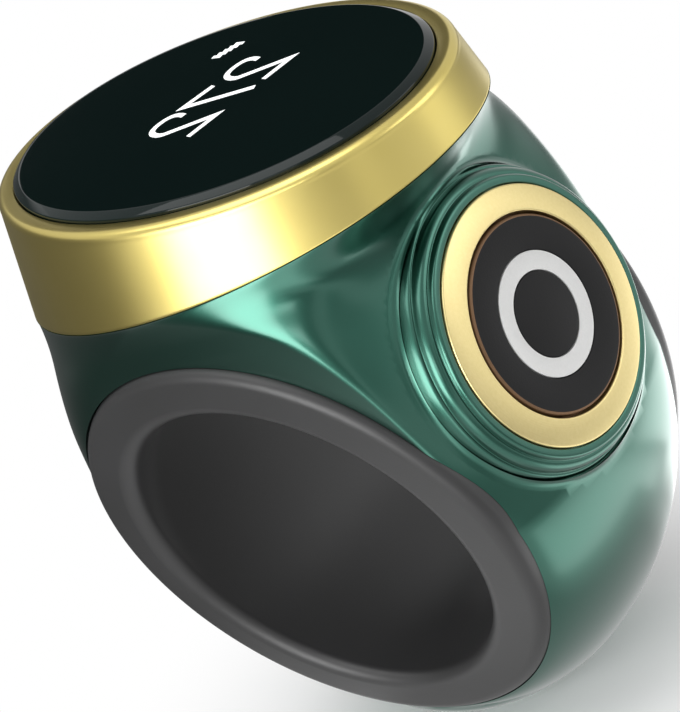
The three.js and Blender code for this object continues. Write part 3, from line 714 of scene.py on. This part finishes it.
def make_boss(body):
    """The raised rings round the button, sinking softly into the body where it's higher."""
    tree = BVHTree.FromBMesh(body)
    away = button_place.inverted()
    own = boss_rings()
    rings = own + BOSS_FOOT + [(BOSS_FOOT[-1][0], BOSS_ROOT), (0, BOSS_ROOT)]

    def ground(r, angle):
        start = button_place @ Vector((r * math.cos(angle), r * math.sin(angle), 3))
        hit = tree.ray_cast(start, -outward, BOSS_ROOT + 3)[0]
        return -(away @ hit).z if hit else BOSS_ROOT - 1

    def place(u, v):
        angle, row = u * 2 * math.pi, round(v * (len(rings) - 1))
        r, depth = rings[row]
        if len(own) <= row < len(own) + len(BOSS_FOOT):
            depth = ground(r, angle) + depth
        elif BEAD_START <= r <= BEAD_END:
            depth = soft_least(depth, ground(r, angle) - 0.02, 0.2)
        return button_place @ Vector((r * math.cos(angle), r * math.sin(angle), -depth))

    boss = skin(BOSS_STEPS, len(rings) - 1, place)
    bmesh.ops.recalc_face_normals(boss, faces=boss.faces)
    return boss


def lean_sides(bm, shoulder):
    for v in bm.verts:
        v.co.y += SIDE_SLOPE * v.co.z * max(-1, min(1, v.co.y / shoulder))
    return bm


def along_finger(profile, steps=TURN_STEPS):
    bm = turned(profile, steps)
    bm.transform(Matrix.Rotation(-math.pi / 2, 4, "X"))
    return bm


def make_shell():
    body = close_ends(skin(OVAL_STEPS, BODY_ROWS, body_point))
    trim_space, trim_seat = TRIM_RADIUS + FIT, TRIM_BACK + FIT
    eased = trim_space + POCKET_EASE
    mouth = quarter((trim_space, BOSS_RIM_DEPTH + POCKET_EASE), (eased, BOSS_RIM_DEPTH), 3, hollow=True)
    pocket = at_button(turned(inwards([
        (0, POCKET_FLOOR), (POCKET_RADIUS, POCKET_FLOOR), (POCKET_RADIUS, trim_seat), (trim_space, trim_seat),
        *mouth, (eased, -3), (0, -3),
    ]), 224))
    lip_foot = SIDE_AT_AXIS - LIP_THICKNESS - SLIDE
    lip_space = LIP_RADIUS + SEAM
    past = SIDE_AT_AXIS + 3 * LIP_THICKNESS
    bore = LINER_RADIUS + SLIDE
    hole = lean_sides(along_finger([
        (0, -past), (lip_space, -past), (lip_space, -lip_foot), (bore, -lip_foot),
        (bore, lip_foot), (lip_space, lip_foot), (lip_space, past), (0, past),
    ], 256), lip_foot)
    collar = oval(GLASS_HALF_LONG, GLASS_HALF_WIDE, RIM_HEIGHT - FUSE, COLLAR_TOP)
    for v in collar.verts:
        if v.co.z < RIM_HEIGHT:
            v.co.z += RIM_SLOPE * v.co.x
    cuts = [
        ("UNION", collar),
        ("DIFFERENCE", oval(HOUSING_HALF_LONG, HOUSING_HALF_WIDE, HOUSING_FLOOR, COLLAR_TOP + PAST)),
        ("UNION", make_boss(body)),
        ("DIFFERENCE", pocket),
        ("DIFFERENCE", hole),
    ]
    for side in (-1, 1):
        y = side * CHARGE_PIN_SPACING / 2
        start, end = (CHARGE_PIN_FACE - PAST, y, CHARGE_PIN_Z), (-HOUSING_HALF_LONG + PAST, y, CHARGE_PIN_Z)
        cuts.append(("DIFFERENCE", rod(CHARGE_PIN_RADIUS + SLIDE, start, end)))
    return finished(carve(body, *cuts), "ring_shell", "green_metal", "ring", "shell")


# The bezel: up the flared outside, over the rounded top and down the inner wall
def make_bezel():
    rise_rows, round_rows, inner_rows = 24, 10, 6
    inner = GLASS_CLEARANCE / 2

    def row_point(angle, row):
        if row <= rise_rows:
            share = row / rise_rows
            low = rim_point(angle, SEAM)
            top_outset = BEZEL_TOP_OUTSET
            high = Vector((
                (GLASS_HALF_LONG + top_outset) * math.cos(angle),
                (GLASS_HALF_WIDE + top_outset) * math.sin(angle),
                BEZEL_TOP - BEZEL_ROUND,
            ))
            return low.lerp(high, share)
        row -= rise_rows
        if row <= round_rows:
            turn = row / round_rows * math.pi / 2
            outset = BEZEL_TOP_OUTSET - BEZEL_ROUND * (1 - math.cos(turn))
            z = BEZEL_TOP - BEZEL_ROUND * (1 - math.sin(turn))
            x = (GLASS_HALF_LONG + outset) * math.cos(angle)
            return Vector((x, (GLASS_HALF_WIDE + outset) * math.sin(angle), z))
        row -= round_rows
        x, y = (GLASS_HALF_LONG + inner) * math.cos(angle), (GLASS_HALF_WIDE + inner) * math.sin(angle)
        top = Vector((x, y, BEZEL_TOP))
        foot = Vector((x, y, RIM_HEIGHT + RIM_SLOPE * x + SEAM))
        if row <= inner_rows:
            return top.lerp(foot, (row - 1) / (inner_rows - 1))
        return rim_point(angle, SEAM)

    total = rise_rows + round_rows + inner_rows + 1
    bm = skin(OVAL_STEPS, total, lambda u, v: row_point(u * 2 * math.pi, round(v * total)))
    bmesh.ops.recalc_face_normals(bm, faces=bm.faces)
    soften(bm, 0.06, 2, angle=40)
    return finished(bm, "display_bezel", "gold_metal", "ring", "bezel", crease=60)


def make_glass():
    low = GLASS_TOP - GLASS_CHAMFER_HEIGHT
    width = GLASS_CHAMFER_WIDTH
    rings = [(0, GLASS_BOTTOM), (0, GLASS_BOTTOM + 0.1), (0, low - 0.04), (0.01, low)]
    rings += [(0.04, low + 0.03), (width - 0.05, GLASS_TOP - 0.03), (width - 0.01, GLASS_TOP - 0.008)]
    rings += [(width + 0.03, GLASS_TOP), (width + 0.15, GLASS_TOP)]

    def place(u, v):
        inset, z = rings[round(v * (len(rings) - 1))]
        turn = u * 2 * math.pi
        return (GLASS_HALF_LONG - inset) * math.cos(turn), (GLASS_HALF_WIDE - inset) * math.sin(turn), z

    bm = close_ends(skin(OVAL_STEPS, len(rings) - 1, place))
    return finished(bm, "display_glass", "dark_glass", "ring", "cover_glass", crease=50)


def make_liner():
    lip_foot = SIDE_AT_AXIS - LIP_THICKNESS
    top = SIDE_AT_AXIS + LIP_CROWN
    crest = HOLE_RADIUS + MOUTH_ROUND
    shoulder = LIP_RADIUS - LIP_ROUND
    half = quarter((HOLE_RADIUS, top - MOUTH_ROUND), (crest, top), 12, hollow=True)
    half += quarter((shoulder, top - LIP_FALL), (LIP_RADIUS, top - LIP_FALL - LIP_ROUND), 12)
    half += [(LIP_RADIUS, lip_foot), (LINER_RADIUS, lip_foot)]
    profile = [(r, -y) for r, y in reversed(half)] + half
    bm = lean_sides(along_finger(profile, 256), lip_foot)
    return finished(bm, "soft_liner", "silicone", "ring", "finger_liner", finish=LINER)


# The button
def make_button():
    hole = CAP_RADIUS + CAP_CLEARANCE
    crest = TRIM_SET_BACK - TRIM_CROWN
    ring = turned(inwards([
        (hole, TRIM_BACK), (TRIM_RADIUS, TRIM_BACK), (TRIM_RADIUS, TRIM_SET_BACK), (hole, crest),
    ]), 224)
    soften(ring, 0.1, 4, pick=lambda p: p.z > -TRIM_SET_BACK - 0.01)
    finished(at_button(ring), "button_ring", "gold_satin", "ring", "button_trim_ring")

    groove = MARK_DEPTH + FIT
    cap = turned(inwards([
        (0, CAP_BACK), (FLANGE_RADIUS, CAP_BACK), (FLANGE_RADIUS, CAP_FACE_THICKNESS),
        (CAP_RADIUS, CAP_FACE_THICKNESS), (CAP_RADIUS, 0), (MARK_OUTER_RADIUS + FIT, 0),
        (MARK_OUTER_RADIUS + FIT, groove), (MARK_INNER_RADIUS - FIT, groove),
        (MARK_INNER_RADIUS - FIT, 0), (0, 0),
    ]), 224)
    soften(cap, 0.14, 4, pick=lambda p: p.z > -0.01 and p.xy.length > MARK_OUTER_RADIUS + 1)
    soften(cap, 0.03, 2, pick=lambda p: p.z > -0.01 and p.xy.length < MARK_OUTER_RADIUS + 1)
    finished(at_button(cap), "push_cap", "black_plastic", "button", "button_cap", finish=CAP)

    mark = turned(inwards([
        (MARK_INNER_RADIUS, MARK_DEPTH), (MARK_OUTER_RADIUS, MARK_DEPTH),
        (MARK_OUTER_RADIUS, 0), (MARK_INNER_RADIUS, 0),
    ]), 224)
    soften(mark, 0.04, 2, pick=lambda p: p.z > -0.01)
    finished(at_button(mark), "push_mark", "white_ink", "button", "button_mark")

    outer = POCKET_RADIUS - SLIDE
    inner = outer - CUSHION_WIDTH
    cushion = turned(inwards([
        (inner, SWITCH_BOTTOM), (outer, SWITCH_BOTTOM), (outer, SWITCH_TOP), (inner, SWITCH_TOP),
    ]), 96)
    soften(cushion, 0.2, 4)
    finished(at_button(cushion), "return_cushion", "silicone", "ring", "button_cushion")


# The digits on the display: strokes of one width, laid on the glass
DIGIT_ORIGIN = Vector((2.24, 3.81))
DIGIT_RIGHT = Vector((-0.297, -0.892))
DIGIT_UP = Vector((-0.892, 0.297))
DIGIT_ADVANCE = 2.61
STROKE = 0.33
BAR_STROKE = 0.24
DIGIT_SINK = 0.02
DIGIT_RISE = 0.012


def hook(from_degrees, to_degrees, centre, radii, fullness, steps=16):
    points = []
    for i in range(steps + 1):
        turn = math.radians(from_degrees + (to_degrees - from_degrees) * i / steps)
        x = math.copysign(abs(math.cos(turn)) ** fullness, math.cos(turn))
        y = math.copysign(abs(math.sin(turn)) ** fullness, math.sin(turn))
        points.append((centre[0] + radii[0] * x, centre[1] + radii[1] * y))
    return points


TWO = [[*hook(190, -40, (1.42, 2.68), (0.92, 0.86), 0.85), (0, 0), (2, -0.03)]]
SEVEN = [[(0.5, 3.25), (2.55, 3.38), (0.1, -0.15)]]
BARS = [[(-0.63 + 0.33 * i, 5.42 + 0.1 * i), (-0.45 + 0.33 * i, 6 + 0.1 * i)] for i in range(5)]


def stroke(bm, path, width, bottom, top):
    """A strip along a path, mitred at its corners, as a thin solid."""
    points = [DIGIT_ORIGIN + DIGIT_RIGHT * a + DIGIT_UP * b for a, b in path]
    rows = []
    for i, p in enumerate(points):
        before = (p - points[i - 1]).normalized() if i else None
        after = (points[i + 1] - p).normalized() if i < len(points) - 1 else None
        along = ((before or after) + (after or before)).normalized()
        across = Vector((-along.y, along.x))
        reach = width / 2 / max(0.35, across.dot(Vector((-(after or before).y, (after or before).x))))
        rows.append([bm.verts.new((*(p + across * side * reach), bottom)) for side in (-1, 1)])
    faces = [bm.faces.new((a[0], a[1], b[1], b[0])) for a, b in zip(rows, rows[1:])]
    raised = bmesh.ops.extrude_face_region(bm, geom=faces)
    lifted = [g for g in raised["geom"] if isinstance(g, bmesh.types.BMVert)]
    bmesh.ops.translate(bm, vec=(0, 0, top - bottom), verts=lifted)


def make_digits():
    bm = bmesh.new()
    bottom, top = GLASS_TOP - DIGIT_SINK, GLASS_TOP + DIGIT_RISE
    for i, glyph in enumerate((TWO, SEVEN, TWO)):
        for path in glyph:
            stroke(bm, [(a + i * DIGIT_ADVANCE, b) for a, b in path], STROKE, bottom, top)
    for path in BARS:
        stroke(bm, path, BAR_STROKE, bottom, top)
    bmesh.ops.recalc_face_normals(bm, faces=bm.faces)
    return finished(bm, "display_digits", "white_ink", "ring", finish=LIT)


def make_pins():
    for i, side in enumerate((-1, 1)):
        y = side * CHARGE_PIN_SPACING / 2
        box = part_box(f"charge_pin_{i + 1}")
        end = box[1][0] / MILLIMETRE
        pin = rod(CHARGE_PIN_RADIUS, (CHARGE_PIN_FACE, y, CHARGE_PIN_Z), (end, y, CHARGE_PIN_Z), 48)
        soften(pin, 0.16, 4, pick=lambda p: p.x < CHARGE_PIN_FACE + 0.05)
        finished(pin, f"contact_{i + 1}", "gold_metal", "ring", f"charge_pin_{i + 1}")


def make_gasket():
    outer = [GLASS_HALF_LONG - GASKET_INSET, GLASS_HALF_WIDE - GASKET_INSET]
    inner = [half - GASKET_WIDTH for half in outer]
    bottom = COLLAR_TOP + FIT
    top = bottom + GASKET_THICKNESS
    corners = [(outer, bottom), (outer, top), (inner, top), (inner, bottom), (outer, bottom)]

    def place(u, v):
        half, z = corners[round(v * 4)]
        return half[0] * math.cos(u * 2 * math.pi), half[1] * math.sin(u * 2 * math.pi), z

    bm = skin(96, 4, place)
    bmesh.ops.recalc_face_normals(bm, faces=bm.faces)
    soften(bm, 0.05, 3)
    return finished(bm, "seal_ring", "silicone", "ring", "glass_gasket")


def make_pad():
    low, high = (Vector(corner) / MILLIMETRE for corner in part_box("battery_pad"))
    bm = bmesh.new()
    bmesh.ops.create_cube(bm, size=1)
    bmesh.ops.scale(bm, vec=high - low, verts=bm.verts)
    bmesh.ops.translate(bm, vec=(low + high) / 2, verts=bm.verts)
    soften(bm, 0.08, 3)
    return finished(bm, "foam_pad", "foam", "ring", "battery_pad")


# Lights, floor and surroundings
def lamp(name, azimuth, elevation, distance, size, strength, aim=(0, 0, 4)):
    light = bpy.data.lights.new(name, "AREA")
    light.shape = "RECTANGLE"
    light.size, light.size_y = size
    area = size[0] * size[1]
    light.energy = strength * math.pi * area
    thing = bpy.data.objects.new(name, light)
    direction = around(azimuth, elevation, 1)
    aim = Vector(aim) * MILLIMETRE
    thing.location = aim + direction * distance
    thing.visible_camera = False
    thing.rotation_euler = direction.to_track_quat("Z", "Y").to_euler()
    bpy.context.collection.objects.link(thing)
    return thing


def make_world(ambient):
    world = bpy.data.worlds.new("studio")
    bpy.context.scene.world = world
    world.use_nodes = True
    nodes, links = world.node_tree.nodes, world.node_tree.links
    nodes.clear()
    path = nodes.new("ShaderNodeLightPath")
    seen = nodes.new("ShaderNodeMath")
    seen.operation = "MAXIMUM"
    links.new(path.outputs["Is Camera Ray"], seen.inputs[0])
    links.new(path.outputs["Is Glossy Ray"], seen.inputs[1])
    through = nodes.new("ShaderNodeMath")
    through.operation = "MAXIMUM"
    links.new(seen.outputs[0], through.inputs[0])
    links.new(path.outputs["Is Transmission Ray"], through.inputs[1])
    level = nodes.new("ShaderNodeMapRange")
    level.inputs["To Min"].default_value = ambient
    level.inputs["To Max"].default_value = 1
    links.new(through.outputs[0], level.inputs["Value"])
    sky = nodes.new("ShaderNodeBackground")
    links.new(level.outputs[0], sky.inputs["Strength"])
    end = nodes.new("ShaderNodeOutputWorld")
    links.new(sky.outputs[0], end.inputs["Surface"])


FLOOR_PAPER = 11
FLOOR_WHITE = 29
CARD_FADE = 0.34


def make_floor():
    """Pale paper under the object, which fades to white between two distances from its middle."""
    bm = bmesh.new()
    bmesh.ops.create_grid(bm, x_segments=1, y_segments=1, size=1.5)
    bmesh.ops.translate(bm, vec=(0, 0, -BAND_DEPTH * MILLIMETRE), verts=bm.verts)
    floor = shelf(bm, "floor")
    f = Finish("pale_floor")
    grain = f.noise(3, 2)
    paper = f.node("BsdfDiffuse", {}, {"Color": f.mix(grain, (0.94, 0.94, 0.94), (0.97, 0.97, 0.97))})
    white = f.node("Emission", {}, {"Strength": 1.0})
    away = f.node("VectorMath", {"operation": "LENGTH"}, {0: f.place}, "Value")
    far = f.smooth(away, FLOOR_PAPER * MILLIMETRE, FLOOR_WHITE * MILLIMETRE) * f.background_rays()
    end = f.nodes.new("ShaderNodeOutputMaterial")
    f.links.new(f.node("MixShader", {}, {0: far, 1: paper, 2: white}).socket, end.inputs["Surface"])
    floor.data.materials.append(f.material)


def card(name, place, towards, size, level=0.03):
    """A card beside the object, in millimetres, seen only in its reflections: soft at its edges,
    where it fades into the white around it, and dark or bright in the middle."""
    bm = bmesh.new()
    bmesh.ops.create_grid(bm, x_segments=1, y_segments=1, size=MILLIMETRE / 2)
    bmesh.ops.scale(bm, vec=(*size, 1), verts=bm.verts)
    thing = shelf(bm, name)
    turn = Vector(towards).to_track_quat("Z", "Y").to_matrix().to_4x4()
    thing.matrix_world = Matrix.Translation(Vector(place) * MILLIMETRE) @ turn
    f = Finish(name + "_face")
    cover = 1.0
    for axis, length in zip("XY", size):
        along = f.node("SeparateXYZ", {}, {"Vector": f.place}, axis).maths("ABSOLUTE")
        start, end = length * MILLIMETRE * CARD_FADE, length * MILLIMETRE / 2
        cover = (1 - f.smooth(along, start, end)) * cover
    glow = f.node("Emission", {}, {"Strength": cover * (level - 1) + 1})
    output = f.nodes.new("ShaderNodeOutputMaterial")
    f.links.new(glow.socket, output.inputs["Surface"])
    thing.data.materials.append(f.material)
    thing.visible_camera = thing.visible_diffuse = thing.visible_shadow = thing.visible_transmission = False
    return thing


def around(azimuth, elevation, distance):
    a, e = math.radians(azimuth), math.radians(elevation)
    return Vector((math.cos(a) * math.cos(e), math.sin(a) * math.cos(e), math.sin(e))) * distance


def standing(name, azimuth, elevation, distance, size, level=0.03):
    place = around(azimuth, elevation, distance)
    return card(name, place + Vector((0, 0, 4)), -place, size, level)


place_camera()
bpy.context.scene.view_settings.view_transform = "Standard"
make_world(0.35)
make_floor()
lamp("left_box", -93, 4, 0.16, (0.1, 0.13), 6.5)
lamp("right_box", 25, 18, 0.4, (0.3, 0.25), 1.7)
lamp("top_box", -120, 75, 0.5, (0.45, 0.45), 2.2)
card("floor_shade", (-112, -20, -14.3), (0, 0, 1), (230, 260), 0.1)
card("back_glow", (16, 70, -14.25), (0, 0, 1), (90, 70), 1.7)
card("close_glow", (10, 28, -14.2), (0, 0, 1), (34, 34), 3)
card("front_glow", (38, -105, -14.2), (0, 0, 1), (44, 150), 2.5)
card("near_glow", (23, 5, -14.15), (0, 0, 1), (19, 24), 2.2)
card("foot_shade", (6, -1, -14.1), (0, 0, 1), (26, 24), 0.6)
card("right_shade", (84, -14, -14.3), (0, 0, 1), (110, 110), 0.4)
card("back_shade", (20, 165, -14.3), (0, 0, 1), (240, 130), 0.2)
standing("side_card", 0, 8, 300, (260, 90), 0.45)
standing("front_light", -63, 18, 300, (120, 70), 4)
standing("left_card", -175, 0, 110, (290, 130), 0.14)
standing("front_card", -47, 0, 350, (220, 500), 0.35)
standing("back_card", 136, 22.5, 400, (280, 240), 0.01)

make_shell()
make_bezel()
make_glass()
make_liner()
make_button()
make_digits()
make_pins()
make_gasket()
make_pad()

# The pieces that stay as solids get their finishes
slots = {part["node"]: part["material_slot"] for part in frame["record"]["subparts"]}
for name, node in frame["nodes"].items():
    node.data.materials.clear()
    node.data.materials.append(FINISHES[slots[name]])
